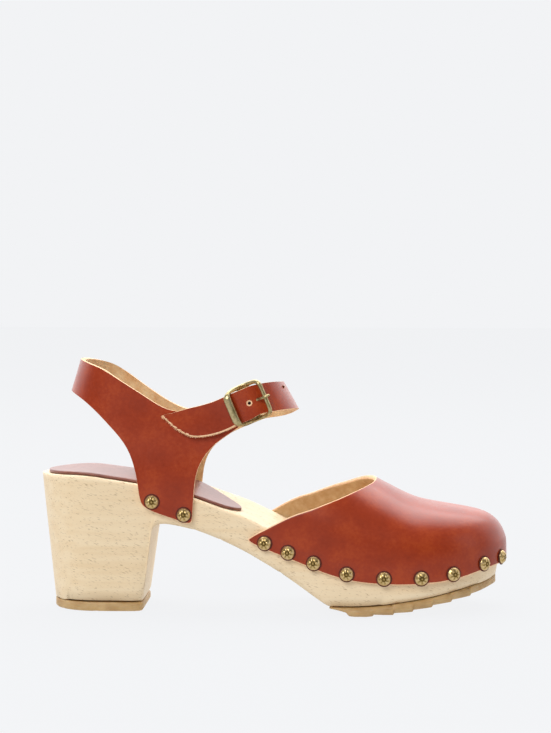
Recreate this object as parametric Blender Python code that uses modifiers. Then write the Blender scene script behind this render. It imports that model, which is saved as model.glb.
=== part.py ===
# Clog sandal, right shoe: wooden sole with a block heel, nailed leather vamp, heel band with a strap.
# +X points to the toe, -Y to the outer side, +Z up. The origin is the middle of the heel lift's rest.
import math

import bmesh
import bpy
from mathutils import Matrix, Vector

# Main sizes, metres
SOLE_LENGTH = 0.2395
SOLE_BACK = -0.030
SEAT_HEIGHT = 0.0704
BALL_WIDTH = 0.083
HEEL_BACK_RADIUS = 0.030
TOE_LENGTH = 0.0555
TOE_SWING = 0.002
TOE_UNDERCUT = 0.003
EDGE_ROUND = 0.0015
ARCH_RISE = 0.0026
CUP_DEPTH = 0.0012

# Heel and ground pieces
HEEL_FOOT_UNDERCUT = 0.0067
HEEL_FOOT_TAPER = 0.875
LIFT_THICKNESS = 0.0045
LIFT_EDGE = 0.0007
RIB_DEPTH = 0.001
RIB_PITCH = 0.0104
RIB_COUNT = 6
RIB_STEP = 0.0005

# Leather
UPPER_HEIGHT = 0.129
LEATHER = 0.0024
CLEARANCE = 0.0003
SOCK_THICKNESS = 0.0015
SOCK_MARGIN = 0.0035
SOCK_POINT = 0.030
SOCK_SWING = 0.010
SOCK_TIP_POWER = 0.62
VAMP_FAN_AHEAD = 0.011
VAMP_SHOULDER = 2.4

# Ankle loop
ANKLE_HALF_WIDTH = 0.0283
HEEL_BAND_REACH = 0.0238
HEEL_BAND_LEAN = 0.305
STRAP_GAP = 0.0005
STRAP_WIDTH = 0.0160
STRAP_END_LENGTH = 0.0435
FOLD_LOW_REACH = 0.0183
FOLD_TOP_REACH = 0.0164
FOLD_SQUARE = 2.2

# Places along the sole, as shares of its length; those of the loop are counted from the ankle's centre
SOCK_FRONT = 0.437
ANKLE_PLACE = 0.1837
HUG_FRONT = 0.1753
FOLD_LOW_PLACE = 0.3006
FOLD_TOP_PLACE = 0.2756
BUCKLE_PLACE = 0.2739

# Heights: the buckle and the end of the lean as shares of the upper's, its start as a share of the seat's
BUCKLE_LEVEL = 0.838
LEAN_START = 0.9375
LEAN_END = 0.814

# Buckle
BUCKLE_TILT = math.radians(23.0)
BUCKLE_HALF_LENGTH = 0.0090
BUCKLE_HALF_WIDTH = 0.0099
BUCKLE_WIRE = 0.0011
BAR_SETBACK = 0.0015
BAR_OFFSET = 0.0003
FRONT_DIP = 0.0005
BUCKLE_SQUARE = 0.3
REAR_BAR_WIRE = 0.0017
ROLL_RADIUS = 0.0033
ROLL_BORE = 0.0015
ROLL_WIDTH = 0.0150
ROLL_SLOT = 0.0042
STRAP_BULGE = 0.0020
PRONG_RADIUS = 0.0009
PRONG_EYE = 0.0028
PRONG_EYE_WIDTH = 0.0030
PRONG_HOLE = 0.0016

# Prong from its eye to its tip: share of the frame's half-length, share of the height of its rest
PRONG_ROUTE = (
    (0.02, 0.22),
    (0.02, 0.51),
    (0.10, 0.74),
    (0.31, 0.86),
    (0.62, 0.92),
    (1.00, 1.01),
    (1.19, 0.98),
)

# Nails
NAIL_RADIUS = 0.0035
NAIL_RISE = 0.0020
NAIL_RIM = 0.0005
NAIL_MARGIN = 0.0032

# Outline of the wood from above: share of the length, then half-widths as shares of the ball width
OUTLINE = (
    (0.00, 0.359, 0.359),
    (0.16, 0.359, 0.359),
    (0.25, 0.361, 0.356),
    (0.35, 0.358, 0.340),
    (0.45, 0.392, 0.352),
    (0.55, 0.446, 0.404),
    (0.65, 0.486, 0.464),
    (0.74, 0.494, 0.500),
    (0.78, 0.494, 0.506),
    (1.00, 0.494, 0.506),
)

# Upper edge of the wood from the side: share of the length, share of the seat height
FOOTBED = (
    (0.000, 0.989),
    (0.095, 1.000),
    (0.160, 0.972),
    (0.216, 0.943),
    (0.277, 0.896),
    (0.342, 0.837),
    (0.396, 0.767),
    (0.443, 0.714),
    (0.492, 0.639),
    (0.542, 0.562),
    (0.597, 0.479),
    (0.667, 0.413),
    (0.746, 0.389),
    (0.825, 0.391),
    (0.895, 0.435),
    (1.000, 0.505),
)

# How much of the arch rise the inner edge has: share of the length, share of the rise
ARCH = ((0.0, 0.0), (0.16, 0.1), (0.30, 0.8), (0.40, 1.0), (0.50, 0.7), (0.62, 0.1), (1.0, 0.0))

# How deep the footbed is hollowed across: share of the length, share of the cup's depth
CUP = ((0.0, 0.0), (0.12, 1.0), (0.60, 1.0), (0.80, 0.4), (1.0, 0.0))

# Underside of the wood ahead of the breast: share of the length, share of the seat height
UNDERSIDE = (
    (0.275, 0.651),
    (0.332, 0.614),
    (0.390, 0.541),
    (0.438, 0.469),
    (0.496, 0.362),
    (0.555, 0.236),
    (0.595, 0.138),
    (0.627, 0.067),
    (0.694, 0.068),
    (0.737, 0.080),
    (0.772, 0.097),
    (0.851, 0.138),
    (0.930, 0.195),
    (1.000, 0.245),
)

HEEL_SECTIONS = (0.163, 0.200, 0.234)

# Breast of the heel: share of the length at the top, at the underside, height share, width share
BREAST = (
    (0.2547, 0.2271, 0.0682, 0.94),
    (0.2650, 0.2476, 0.601, 0.99),
    (0.2735, 0.2597, 0.641, 1.0),
    (0.2840, 0.2750, 0.652, 1.0),
)
WAIST = (
    0.310, 0.342, 0.370, 0.396, 0.420, 0.443, 0.470, 0.496,
    0.525, 0.555, 0.595, 0.627, 0.660, 0.694, 0.737,
)

# Sections of the sock: shares of the sole's length, then shares of its own pointed front
SOCK_SECTIONS = (0.163, 0.200, 0.234, 0.255, 0.275, 0.296)
SOCK_TIP = (0.0, 0.2, 0.4, 0.6, 0.76, 0.88, 0.95, 0.99, 1.0)

# Wear face of the outsole without its ribs: share of the length, share of the seat height
TREAD = (
    (0.6295, 0.055),
    (0.666, 0.026),
    (0.671, 0.0),
    (0.722, 0.0),
    (0.761, 0.010),
    (0.808, 0.034),
    (0.870, 0.078),
    (0.930, 0.122),
    (1.000, 0.182),
)
TREAD_START = (0.6295, 0.648, 0.666, 0.671, 0.695)
TREAD_END = (0.045, 0.02, 0.005, 0.0)

# Lower edge of the vamp: share of the length, share of the seat height
VAMP_LOW = (
    (0.454, 0.531),
    (0.513, 0.452),
    (0.568, 0.384),
    (0.631, 0.303),
    (0.694, 0.253),
    (0.772, 0.236),
    (0.851, 0.244),
    (0.910, 0.274),
    (0.942, 0.304),
    (0.987, 0.342),
    (1.013, 0.355),
)

# Ridge of the vamp, run on behind its mouth: share of the length, share of the seat height
VAMP_RIDGE = (
    (0.455, 1.435),
    (0.543, 1.307),
    (0.614, 1.179),
    (0.668, 1.072),
    (0.727, 0.953),
    (0.752, 0.908),
    (0.792, 0.838),
    (0.814, 0.807),
)

# Toe of the vamp ahead of the fan point: share of the reach, share of the rise above the wood
VAMP_TOE = (
    (0.00, 1.00),
    (0.10, 0.935),
    (0.29, 0.845),
    (0.49, 0.785),
    (0.69, 0.705),
    (0.79, 0.645),
    (0.87, 0.52),
    (0.95, 0.30),
    (1.00, 0.0),
)

# Mouth of the vamp by row: share of the half-width, then the place along the sole, outer and inner side
MOUTH = (
    (1.00, 0.4960, 0.4960),
    (0.985, 0.5500, 0.5450),
    (0.96, 0.5860, 0.5800),
    (0.92, 0.6160, 0.6080),
    (0.86, 0.6460, 0.6380),
    (0.77, 0.6730, 0.6680),
    (0.65, 0.6950, 0.6890),
    (0.50, 0.7120, 0.7060),
    (0.34, 0.7220, 0.7180),
    (0.17, 0.7260, 0.7250),
    (0.00, 0.7270, 0.7270),
)
# Tail of the vamp on the wood's side: share of the band's height, place along the sole
TAIL = ((0.0, 0.4600), (0.13, 0.4550), (0.33, 0.4635), (0.67, 0.4790))

# Heel band at the back: turn round the heel in degrees, lower and upper edge as shares of the height
HEEL_BAND = (
    (0, 0.694, 0.921),
    (10, 0.742, 0.944),
    (24, 0.798, 0.970),
    (42, 0.842, 0.985),
    (60, 0.863, 0.995),
    (76, 0.871, 0.999),
    (90, 0.873, 1.000),
)

# Outer side of the quarter from the heel band to its arm: lower edge ahead of the ankle's centre and up,
# then upper edge
OUTER_SIDE = (
    (0.0173, 0.643, 0.0293, 0.887),
    (0.0263, 0.597, 0.0503, 0.862),
    (0.0323, 0.554, 0.0673, 0.841),
    (0.0363, 0.512, 0.0793, 0.828),
    (0.0403, 0.448, 0.0923, 0.816),
    (0.0483, 0.424, 0.1023, 0.810),
    (0.0683, 0.405, 0.1133, 0.805),
    (0.0933, 0.389, 0.1243, 0.802),
    (0.1193, 0.373, 0.1363, 0.801),
    (0.1413, 0.358, 0.1433, 0.802),
    (0.1513, 0.364, 0.1473, 0.803),
    (0.1543, 0.434, 0.1533, 0.806),
    (0.1563, 0.512, 0.1623, 0.811),
    (0.1633, 0.581, 0.1763, 0.821),
    (0.1813, 0.636, 0.1933, 0.833),
    (0.2023, 0.678, 0.2093, 0.844),
    (0.2253, 0.707, 0.2263, 0.857),
)

# End of the short arm in the buckle's directions: lower edge ahead and across, upper edge ahead and
# across, as shares of the buckle's half-length and of the strap's width
ARM_END = (
    (-1.324, -0.621, -0.716, 0.416),
    (-0.864, -0.547, -0.448, 0.427),
    (-0.247, -0.471, -0.252, 0.4675),
)

# Inner side of the quarter from the heel band to the long arm
INNER_SIDE = (
    (0.0173, 0.643, 0.0293, 0.880),
    (0.0263, 0.597, 0.0503, 0.853),
    (0.0323, 0.554, 0.0673, 0.832),
    (0.0363, 0.512, 0.0793, 0.818),
    (0.0403, 0.448, 0.0923, 0.805),
    (0.0483, 0.424, 0.1023, 0.796),
    (0.0683, 0.405, 0.1133, 0.788),
    (0.0933, 0.389, 0.1243, 0.782),
    (0.1193, 0.373, 0.1363, 0.779),
    (0.1413, 0.358, 0.1443, 0.778),
    (0.1513, 0.364, 0.1493, 0.778),
    (0.1553, 0.434, 0.1563, 0.780),
    (0.1573, 0.512, 0.1663, 0.784),
    (0.1653, 0.581, 0.1803, 0.791),
    (0.1833, 0.632, 0.1983, 0.801),
    (0.2063, 0.667, 0.2163, 0.812),
    (0.2303, 0.693, 0.2343, 0.823),
    (0.2603, 0.717, 0.2523, 0.837),
    (0.2823, 0.733, 0.2653, 0.849),
)

# Fold of the strap round the instep: turn in degrees, its middle as a share of the upper's height, its
# upright extent as a share of the strap's width, share of the bulge
FOLD = (
    (90, 0.8030, 0.919, 0.0),
    (72, 0.8110, 0.935, 0.0),
    (54, 0.8220, 0.935, 0.0),
    (36, 0.8340, 0.919, 0.0),
    (18, 0.8455, 0.895, 0.0),
    (0, 0.8540, 0.871, 0.0),
    (-18, 0.8595, 0.863, 0.0),
    (-36, 0.8645, 0.863, 0.0),
    (-54, 0.8645, 0.879, 0.0),
    (-72, 0.8615, 0.879, 0.35),
    (-90, 0.8528, 0.875, 0.8),
)

# Strap end on the outer side in the buckle's directions: lower edge ahead and across, upper edge ahead
# and across, as shares of the end's length and of the strap's width, share of the bulge
STRAP_END = (
    (0.025, -0.467, 0.032, 0.497, 1.0),
    (-0.044, -0.506, -0.025, 0.494, 1.0),
    (-0.112, -0.501, -0.094, 0.497, 1.0),
    (-0.183, -0.498, -0.171, 0.499, 0.6),
    (-0.274, -0.507, -0.256, 0.489, 0.2),
    (-0.374, -0.532, -0.354, 0.474, 0.0),
    (-0.507, -0.501, -0.481, 0.503, 0.0),
    (-0.634, -0.434, -0.588, 0.547, 0.0),
    (-0.717, -0.355, -0.660, 0.586, 0.0),
    (-0.785, -0.251, -0.728, 0.612, 0.0),
    (-0.835, -0.118, -0.802, 0.632, 0.0),
    (-0.883, 0.038, -0.859, 0.654, 0.0),
    (-0.925, 0.227, -0.911, 0.666, 0.0),
    (-0.963, 0.446, -0.961, 0.689, 0.0),
    (-0.994, 0.627, -0.999, 0.711, 0.0),
)

# Nails in the vamp, along the sole, and how far the toe nails turn; nails in a stem, ahead of the
# ankle's centre and up
VAMP_NAILS = (0.492, 0.542, 0.597, 0.667, 0.746, 0.825)
TOE_NAIL_TURNS = (31.0, 52.0, 71.0)
STEM_NAILS = ((0.0663, 0.445), (0.1343, 0.394))

OUTER = -1
INNER = 1

# Direction that no bar or wire runs along, from which their sections are turned
SECTION_SIDE = Vector((0.05, 1.0, 0.02))
SOCK_COLUMNS = 4


def along(share):
    return SOLE_BACK + share * SOLE_LENGTH


def ahead_of_ankle(share):
    return along(ANKLE_PLACE + share)


def share_of(x):
    return (x - SOLE_BACK) / SOLE_LENGTH


def smooth_step(value):
    value = min(max(value, 0.0), 1.0)
    return value * value * (3 - 2 * value)


def read_curve(table, at, column=1):
    """Value of a column of a table between its rows, by a cubic that never overshoots."""
    if at <= table[0][0]:
        return table[0][column]
    if at >= table[-1][0]:
        return table[-1][column]
    steps = [b[0] - a[0] for a, b in zip(table, table[1:])]
    rises = [(b[column] - a[column]) / s for a, b, s in zip(table, table[1:], steps)]
    slopes = [rises[0]]
    for k in range(1, len(rises)):
        before, after = rises[k - 1], rises[k]
        if before * after <= 0:
            slopes.append(0.0)
        else:
            w1 = 2 * steps[k] + steps[k - 1]
            w2 = steps[k] + 2 * steps[k - 1]
            slopes.append((w1 + w2) / (w1 / before + w2 / after))
    slopes.append(rises[-1])
    row = 0
    while at > table[row + 1][0]:
        row += 1
    h = steps[row]
    t = (at - table[row][0]) / h
    start, end = table[row][column], table[row + 1][column]
    cubic = (2 * t ** 3 - 3 * t ** 2 + 1) * start + (t ** 3 - 2 * t ** 2 + t) * h * slopes[row]
    return cubic + (3 * t ** 2 - 2 * t ** 3) * end + (t ** 3 - t ** 2) * h * slopes[row + 1]


TOE_CENTRE = SOLE_BACK + SOLE_LENGTH - TOE_LENGTH
VAMP_FAN = TOE_CENTRE + VAMP_FAN_AHEAD
HEEL_FOOT_BACK = SOLE_BACK + HEEL_FOOT_UNDERCUT
HEEL_FOOT_FRONT = along(BREAST[0][1])
ANKLE_CENTRE = along(ANKLE_PLACE)
SOCK_POINT_START = along(SOCK_FRONT) - SOCK_POINT


def wood_half(x, side):
    """Signed y of the wood's outline at x, on one side."""
    half = BALL_WIDTH * read_curve(OUTLINE, share_of(x), 1 if side == OUTER else 2)
    back = (x - SOLE_BACK) / HEEL_BACK_RADIUS
    if back < 1:
        return side * half * math.sqrt(max(0.0, 1 - (1 - back) ** 2))
    toe = (x - TOE_CENTRE) / TOE_LENGTH
    if toe > 0:
        reach = half - side * TOE_SWING
        return TOE_SWING * smooth_step(toe * 4) + side * reach_at(toe, half, reach)
    return side * half


def reach_at(toe, half, reach):
    blend = smooth_step(toe * 4)
    return (half * (1 - blend) + reach * blend) * math.sqrt(max(0.0, 1 - min(toe, 1.0) ** 2))


def footbed(x, y):
    """Height of the wood's upper face."""
    level = SEAT_HEIGHT * read_curve(FOOTBED, share_of(x))
    outer, inner = wood_half(x, OUTER), wood_half(x, INNER)
    across = (y - outer) / (inner - outer) if inner - outer > 1e-6 else 0.5
    cup = CUP_DEPTH * read_curve(CUP, share_of(x)) * max(0.0, 1 - (2 * across - 1) ** 2)
    return level + ARCH_RISE * read_curve(ARCH, share_of(x)) * across - cup


def underside(x):
    return SEAT_HEIGHT * read_curve(UNDERSIDE, share_of(x))


def toe_stations(count):
    return [TOE_CENTRE + TOE_LENGTH * math.sin(math.pi / 2 * k / count) for k in range(count + 1)]


def heel_stations(count):
    return [SOLE_BACK + HEEL_BACK_RADIUS * (1 - math.cos(math.pi / 2 * k / count)) for k in range(count + 1)]


def heel_tops():
    """Places of the heel's sections along the upper edge, from the back to the last before the breast."""
    return heel_stations(7) + [along(share) for share in HEEL_SECTIONS]


def heel_foot_x(x):
    turn = (x - SOLE_BACK) / (along(BREAST[0][0]) - SOLE_BACK)
    return HEEL_FOOT_BACK + turn * (HEEL_FOOT_FRONT - HEEL_FOOT_BACK)


def material(name, colour, roughness, metallic=0.0):
    found = bpy.data.materials.new(name)
    found.use_nodes = True
    shader = found.node_tree.nodes["Principled BSDF"]
    shader.inputs["Base Color"].default_value = (*colour, 1.0)
    shader.inputs["Roughness"].default_value = roughness
    shader.inputs["Metallic"].default_value = metallic
    return found


def add_object(name, bm, surface, smooth_angle=40.0, cutter=False):
    bmesh.ops.remove_doubles(bm, verts=bm.verts, dist=0.00002)
    bmesh.ops.recalc_face_normals(bm, faces=bm.faces)
    mesh = bpy.data.meshes.new(name)
    bm.to_mesh(mesh)
    bm.free()
    mesh.materials.append(surface)
    for face in mesh.polygons:
        face.use_smooth = True
    mesh.set_sharp_from_angle(angle=math.radians(smooth_angle))
    made = bpy.data.objects.new(name, mesh)
    (cutters if cutter else shoe).objects.link(made)
    if cutter:
        made.hide_render = True
        made.display_type = "WIRE"
    return made


def loft(rings, closed_ring=True):
    """Skin between rings of equal count; closed rings are capped at both ends."""
    bm = bmesh.new()
    rows = [[bm.verts.new(point) for point in ring] for ring in rings]
    count = len(rings[0])
    for lower, upper in zip(rows, rows[1:]):
        for k in range(count if closed_ring else count - 1):
            j = (k + 1) % count
            bm.faces.new((lower[k], lower[j], upper[j], upper[k]))
    if closed_ring:
        bm.faces.new(rows[0][::-1])
        bm.faces.new(rows[-1])
    return bm


def tube(points, radii, segments=10, closed=False):
    """Round bar along a path, its section turned to the path."""
    rings = []
    last = len(points) - 1
    side = None
    for k, point in enumerate(points):
        before = points[k - 1] if k > 0 or closed else points[0]
        after = points[(k + 1) % len(points)] if k < last or closed else points[last]
        ahead = (after - before).normalized()
        side = SECTION_SIDE if side is None else side
        side = (side - ahead * side.dot(ahead)).normalized()
        up = ahead.cross(side)
        turns = [2 * math.pi * j / segments for j in range(segments)]
        rings.append([point + radii[k] * (math.cos(a) * side + math.sin(a) * up) for a in turns])
    if not closed:
        return loft(rings)
    bm = bmesh.new()
    rows = [[bm.verts.new(spot) for spot in ring] for ring in rings]
    for k in range(len(rows)):
        lower, upper = rows[k], rows[(k + 1) % len(rows)]
        for j in range(segments):
            n = (j + 1) % segments
            bm.faces.new((lower[j], lower[n], upper[n], upper[j]))
    return bm


def cut(target, cutter, operation):
    step = target.modifiers.new(cutter.name, "BOOLEAN")
    step.operation = operation
    step.solver = "EXACT"
    step.object = cutter


def wood_ring(x_top, x_low, z_low, taper):
    """Ring of the sole: over the footbed, then round the sides and across the underside."""
    outer, inner = wood_half(x_top, OUTER), wood_half(x_top, INNER)
    mid = (outer + inner) / 2
    half = (inner - outer) / 2
    rim = max(half - EDGE_ROUND, half * 0.5) / half if half > 1e-6 else 1.0
    top = []
    for across in (-rim, -0.6, -0.2, 0.2, 0.6, rim):
        y = mid + across * half
        top.append(Vector((x_top, y, footbed(x_top, y))))
    ring = list(top)
    for step in (0.0, 0.5, 1.0):
        z_rim = footbed(x_top, inner) - EDGE_ROUND
        x, width = x_top + (x_low - x_top) * step, 1 + (taper - 1) * step
        ring.append(Vector((x, mid + half * width, z_rim + (z_low - z_rim) * step)))
    for across in (0.4, -0.4):
        ring.append(Vector((x_low, mid + across * half * taper, z_low)))
    for step in (1.0, 0.5, 0.0):
        z_rim = footbed(x_top, outer) - EDGE_ROUND
        x, width = x_top + (x_low - x_top) * step, 1 + (taper - 1) * step
        ring.append(Vector((x, mid - half * width, z_rim + (z_low - z_rim) * step)))
    return ring


def build_sole(surface):
    foot = LIFT_THICKNESS + CLEARANCE
    rings = []
    for x in heel_tops():
        rings.append(wood_ring(x, heel_foot_x(x), foot, HEEL_FOOT_TAPER))
    for row, (top, low, height, width) in enumerate(BREAST):
        taper = HEEL_FOOT_TAPER * width if row == 0 else width
        level = foot if row == 0 else SEAT_HEIGHT * height
        rings.append(wood_ring(along(top), along(low), level, taper))
    for share in WAIST:
        x = along(share)
        rings.append(wood_ring(x, x, underside(x), 1.0))
    for x in toe_stations(12):
        under = toe_under(x)
        rings.append(wood_ring(x, under, underside(x), 1.0))
    return add_object("wooden_sole", loft(rings), surface, 50.0)


def toe_under(x):
    """The toe's lower edge stands a little behind its upper edge."""
    return x - TOE_UNDERCUT * (x - TOE_CENTRE) / TOE_LENGTH if x > TOE_CENTRE else x


def tread(x):
    level = SEAT_HEIGHT * read_curve(TREAD, share_of(x))
    first = along(TREAD[3][0])
    turn = (x - first) / RIB_PITCH
    if turn <= 0:
        return level
    rest = turn - math.floor(turn)
    step = RIB_STEP / RIB_PITCH
    lift = rest / step if rest < step else (1 - rest) / (1 - step)
    return level + RIB_DEPTH * lift


def build_outsole(surface):
    stations = [along(share) for share in TREAD_START]
    first = along(TREAD[3][0])
    toe_end = SOLE_BACK + SOLE_LENGTH
    for k in range(RIB_COUNT + 1):
        x = first + k * RIB_PITCH
        stations.append(x)
        stations.append(x + RIB_STEP)
        stations.append(x + RIB_PITCH * 0.5)
    ribs = [x for x in stations if x < toe_end - TOE_LENGTH * TREAD_END[0] * 2]
    tail = [toe_end - TOE_LENGTH * share for share in TREAD_END]
    rings = []
    for x in ribs + tail:
        outer, inner = wood_half(x, OUTER), wood_half(x, INNER)
        place = toe_under(x)
        above, below = underside(x) - CLEARANCE, tread(x)
        sides = [outer, outer * 0.6 + inner * 0.4, outer * 0.3 + inner * 0.7, inner]
        ring = [Vector((place, y, above)) for y in sides]
        ring += [Vector((place, y, below)) for y in sides[::-1]]
        rings.append(ring)
    return add_object("outsole", loft(rings), surface, 25.0)


def foot_outline(inset):
    """Outline of the heel's foot, outer side from front to back, then the inner side."""
    centre = (HEEL_FOOT_BACK + HEEL_FOOT_FRONT) / 2
    side_points = []
    for x in heel_tops():
        side_points.append((heel_foot_x(x), wood_half(x, INNER) * HEEL_FOOT_TAPER))
    top = along(BREAST[0][0])
    side_points.append((HEEL_FOOT_FRONT, wood_half(top, INNER) * HEEL_FOOT_TAPER * BREAST[0][3]))
    half_length = (HEEL_FOOT_FRONT - HEEL_FOOT_BACK) / 2
    shrink_x = 1 - inset / half_length
    shrink_y = 1 - inset / side_points[-2][1]
    ring = [(centre + (x - centre) * shrink_x, -y * shrink_y) for x, y in side_points[::-1]]
    ring += [(centre + (x - centre) * shrink_x, y * shrink_y) for x, y in side_points[1:]]
    return ring


def build_lift(surface):
    rings = []
    for level, inset in ((0.0, LIFT_EDGE), (LIFT_EDGE, 0.0), (LIFT_THICKNESS, 0.0)):
        rings.append([Vector((x, y, level)) for x, y in foot_outline(inset)])
    return add_object("heel_lift", loft(rings), surface, 30.0)


def sock_half(x, side):
    half = abs(wood_half(x, side)) - SOCK_MARGIN
    past = (x - SOCK_POINT_START) / SOCK_POINT
    if past > 0:
        half = half * (1 - min(past, 1.0) ** 2) ** SOCK_TIP_POWER - side * SOCK_SWING * smooth_step(past)
    back = (x - SOLE_BACK - SOCK_MARGIN) / HEEL_BACK_RADIUS
    if back < 1:
        full = abs(wood_half(SOLE_BACK + HEEL_BACK_RADIUS, side)) - SOCK_MARGIN
        half = full * math.sqrt(max(0.0, 1 - (1 - back) ** 2))
    return side * half


def build_sock(surface):
    start = SOLE_BACK + SOCK_MARGIN
    stations = [start + HEEL_BACK_RADIUS * (1 - math.cos(math.pi / 2 * k / 7)) for k in range(8)]
    stations += [along(share) for share in SOCK_SECTIONS if along(share) < SOCK_POINT_START]
    stations += [SOCK_POINT_START + SOCK_POINT * t for t in SOCK_TIP]
    rings = []
    for x in stations:
        outer, inner = sock_half(x, OUTER), sock_half(x, INNER)
        rows = [outer + (inner - outer) * k / SOCK_COLUMNS for k in range(SOCK_COLUMNS + 1)]
        ring = [Vector((x, y, footbed(x, y) + CLEARANCE)) for y in rows]
        ring += [Vector((x, y, footbed(x, y) + CLEARANCE + SOCK_THICKNESS)) for y in rows[::-1]]
        rings.append(ring)
    return add_object("insole_sock", loft(rings), surface, 50.0)


def vamp_base(x, side):
    """Outer face of the leather on the wood's side, ahead of the toe centre it follows the curve."""
    return wood_half(x, side) + side * (CLEARANCE + LEATHER)


def vamp_toe_base(turn, side):
    """Point of the vamp's outline at the toe, turn in radians from the side to the tip."""
    grow = CLEARANCE + LEATHER
    x = TOE_CENTRE + (TOE_LENGTH + grow) * math.sin(turn)
    wood_x = TOE_CENTRE + TOE_LENGTH * math.sin(turn)
    y = wood_half(wood_x, side)
    return Vector((x, y + side * grow * math.cos(turn), 0.0))


def shoulder(width):
    """Rise of the vamp over the wood at a share of its half-width."""
    return max(0.0, 1 - width ** VAMP_SHOULDER) ** (1 / VAMP_SHOULDER)


def build_vamp(surface):
    mouth_rows = len(MOUTH)
    band_rows = len(TAIL)
    fan_turn = math.asin((VAMP_FAN - TOE_CENTRE) / (TOE_LENGTH + CLEARANCE + LEATHER))
    fan_y = TOE_SWING * 0.5
    side_columns = 13
    toe_columns = 12
    columns = []
    for side in (OUTER, INNER):
        half = []
        for column in range(side_columns):
            t = column / side_columns
            rows = []
            for share, tail in TAIL:
                x = along(tail) + (VAMP_FAN - along(tail)) * t
                low = SEAT_HEIGHT * read_curve(VAMP_LOW, share_of(x))
                band = footbed(x, vamp_base(x, side))
                rows.append(Vector((x, vamp_base(x, side), low + (band - low) * share)))
            for width, outer_mouth, inner_mouth in MOUTH:
                mouth = along(outer_mouth if side == OUTER else inner_mouth)
                x = mouth + (VAMP_FAN - mouth) * t
                band = footbed(x, vamp_base(x, side))
                ridge = SEAT_HEIGHT * read_curve(VAMP_RIDGE, share_of(x))
                rise = shoulder(width)
                y = fan_y * (1 - width) + vamp_base(x, side) * width
                rows.append(Vector((x, y, band + (ridge - band) * rise)))
            half.append(rows)
        for column in range(toe_columns + 1):
            turn = fan_turn + (math.pi / 2 - fan_turn) * column / toe_columns
            base = vamp_toe_base(turn, side)
            wood_x = min(base.x, SOLE_BACK + SOLE_LENGTH)
            low = SEAT_HEIGHT * read_curve(VAMP_LOW, share_of(base.x))
            band = footbed(wood_x, base.y)
            peak = SEAT_HEIGHT * VAMP_RIDGE[-1][1]
            ahead = max(0.0, math.sin((turn - fan_turn) / (math.pi / 2 - fan_turn) * math.pi / 2))
            rows = [Vector((base.x, base.y, low + (band - low) * share)) for share, tail in TAIL]
            for width, outer_mouth, inner_mouth in MOUTH:
                rise_side = shoulder(width)
                rise_toe = read_curve(VAMP_TOE, width)
                rise = rise_side + (rise_toe - rise_side) * ahead
                x = VAMP_FAN + (base.x - VAMP_FAN) * width
                y = fan_y + (base.y - fan_y) * width
                rows.append(Vector((x, y, band + (peak - band) * rise)))
            half.append(rows)
        columns += half if side == OUTER else half[::-1][1:]
    bm = bmesh.new()
    grid = [[bm.verts.new(point) for point in rows] for rows in columns]
    for left, right in zip(grid, grid[1:]):
        for k in range(mouth_rows + band_rows - 1):
            bm.faces.new((left[k], right[k], right[k + 1], left[k + 1]))
    bmesh.ops.remove_doubles(bm, verts=bm.verts, dist=0.00002)
    return add_sheet("vamp", bm, surface, Vector((VAMP_FAN, 0, 0)))


def add_sheet(name, bm, surface, inside):
    """One leather sheet given by its outer face, its thickness laid inwards."""
    made = add_object(name, bm, surface, 50.0)
    mesh = made.data
    votes = sum(1 if (face.center - inside).dot(face.normal) > 0 else -1 for face in mesh.polygons)
    if votes < 0:
        mesh.flip_normals()
    wall = made.modifiers.new("leather", "SOLIDIFY")
    wall.thickness = LEATHER
    wall.offset = -1
    wall.use_even_offset = True
    wall.use_quality_normals = True
    return made


def side_face(x, z, side):
    """Outer face of the quarter: close to the wood below, leaning in to the ankle above."""
    hug = abs(wood_half(min(max(x, ANKLE_CENTRE), ahead_of_ankle(HUG_FRONT)), side)) + CLEARANCE + LEATHER
    start, end = SEAT_HEIGHT * LEAN_START, UPPER_HEIGHT * LEAN_END
    lean = smooth_step((z - start) / (end - start))
    return side * (hug + (ANKLE_HALF_WIDTH - hug) * lean)


def heel_point(turn, z, side):
    reach = HEEL_BAND_REACH + (UPPER_HEIGHT - z) * HEEL_BAND_LEAN
    x = ANKLE_CENTRE - reach * math.sin(turn)
    return Vector((x, side_face(ANKLE_CENTRE, z, side) * math.cos(turn), z))


def side_rung(row, side, steps):
    rung = []
    for k in range(steps + 1):
        t = k / steps
        x = ahead_of_ankle(row[0] + (row[2] - row[0]) * t)
        z = UPPER_HEIGHT * (row[1] + (row[3] - row[1]) * t)
        rung.append(Vector((x, side_face(x, z, side), z)))
    return rung


def strap_rung(row, length, steps, lift):
    """Rung across the strap on the outer side, its ends given in the buckle's directions."""
    rung = []
    for k in range(steps + 1):
        t = k / steps
        ahead = length * (row[0] + (row[2] - row[0]) * t)
        across = STRAP_WIDTH * (row[1] + (row[3] - row[1]) * t)
        place = buckle_point(ahead, across, 0)
        rung.append(Vector((place.x, side_face(place.x, place.z, OUTER) - lift, place.z)))
    return rung


def heel_rung(row, side, steps):
    turn = math.radians(row[0])
    heights = [UPPER_HEIGHT * (row[1] + (row[2] - row[1]) * k / steps) for k in range(steps + 1)]
    return [heel_point(turn, z, side) for z in heights]


def strap_lift(bulge):
    """How far the strap's outer face lies outside the arm's, with its share of the bulge at the buckle."""
    return LEATHER + STRAP_GAP + STRAP_BULGE * bulge


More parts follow.
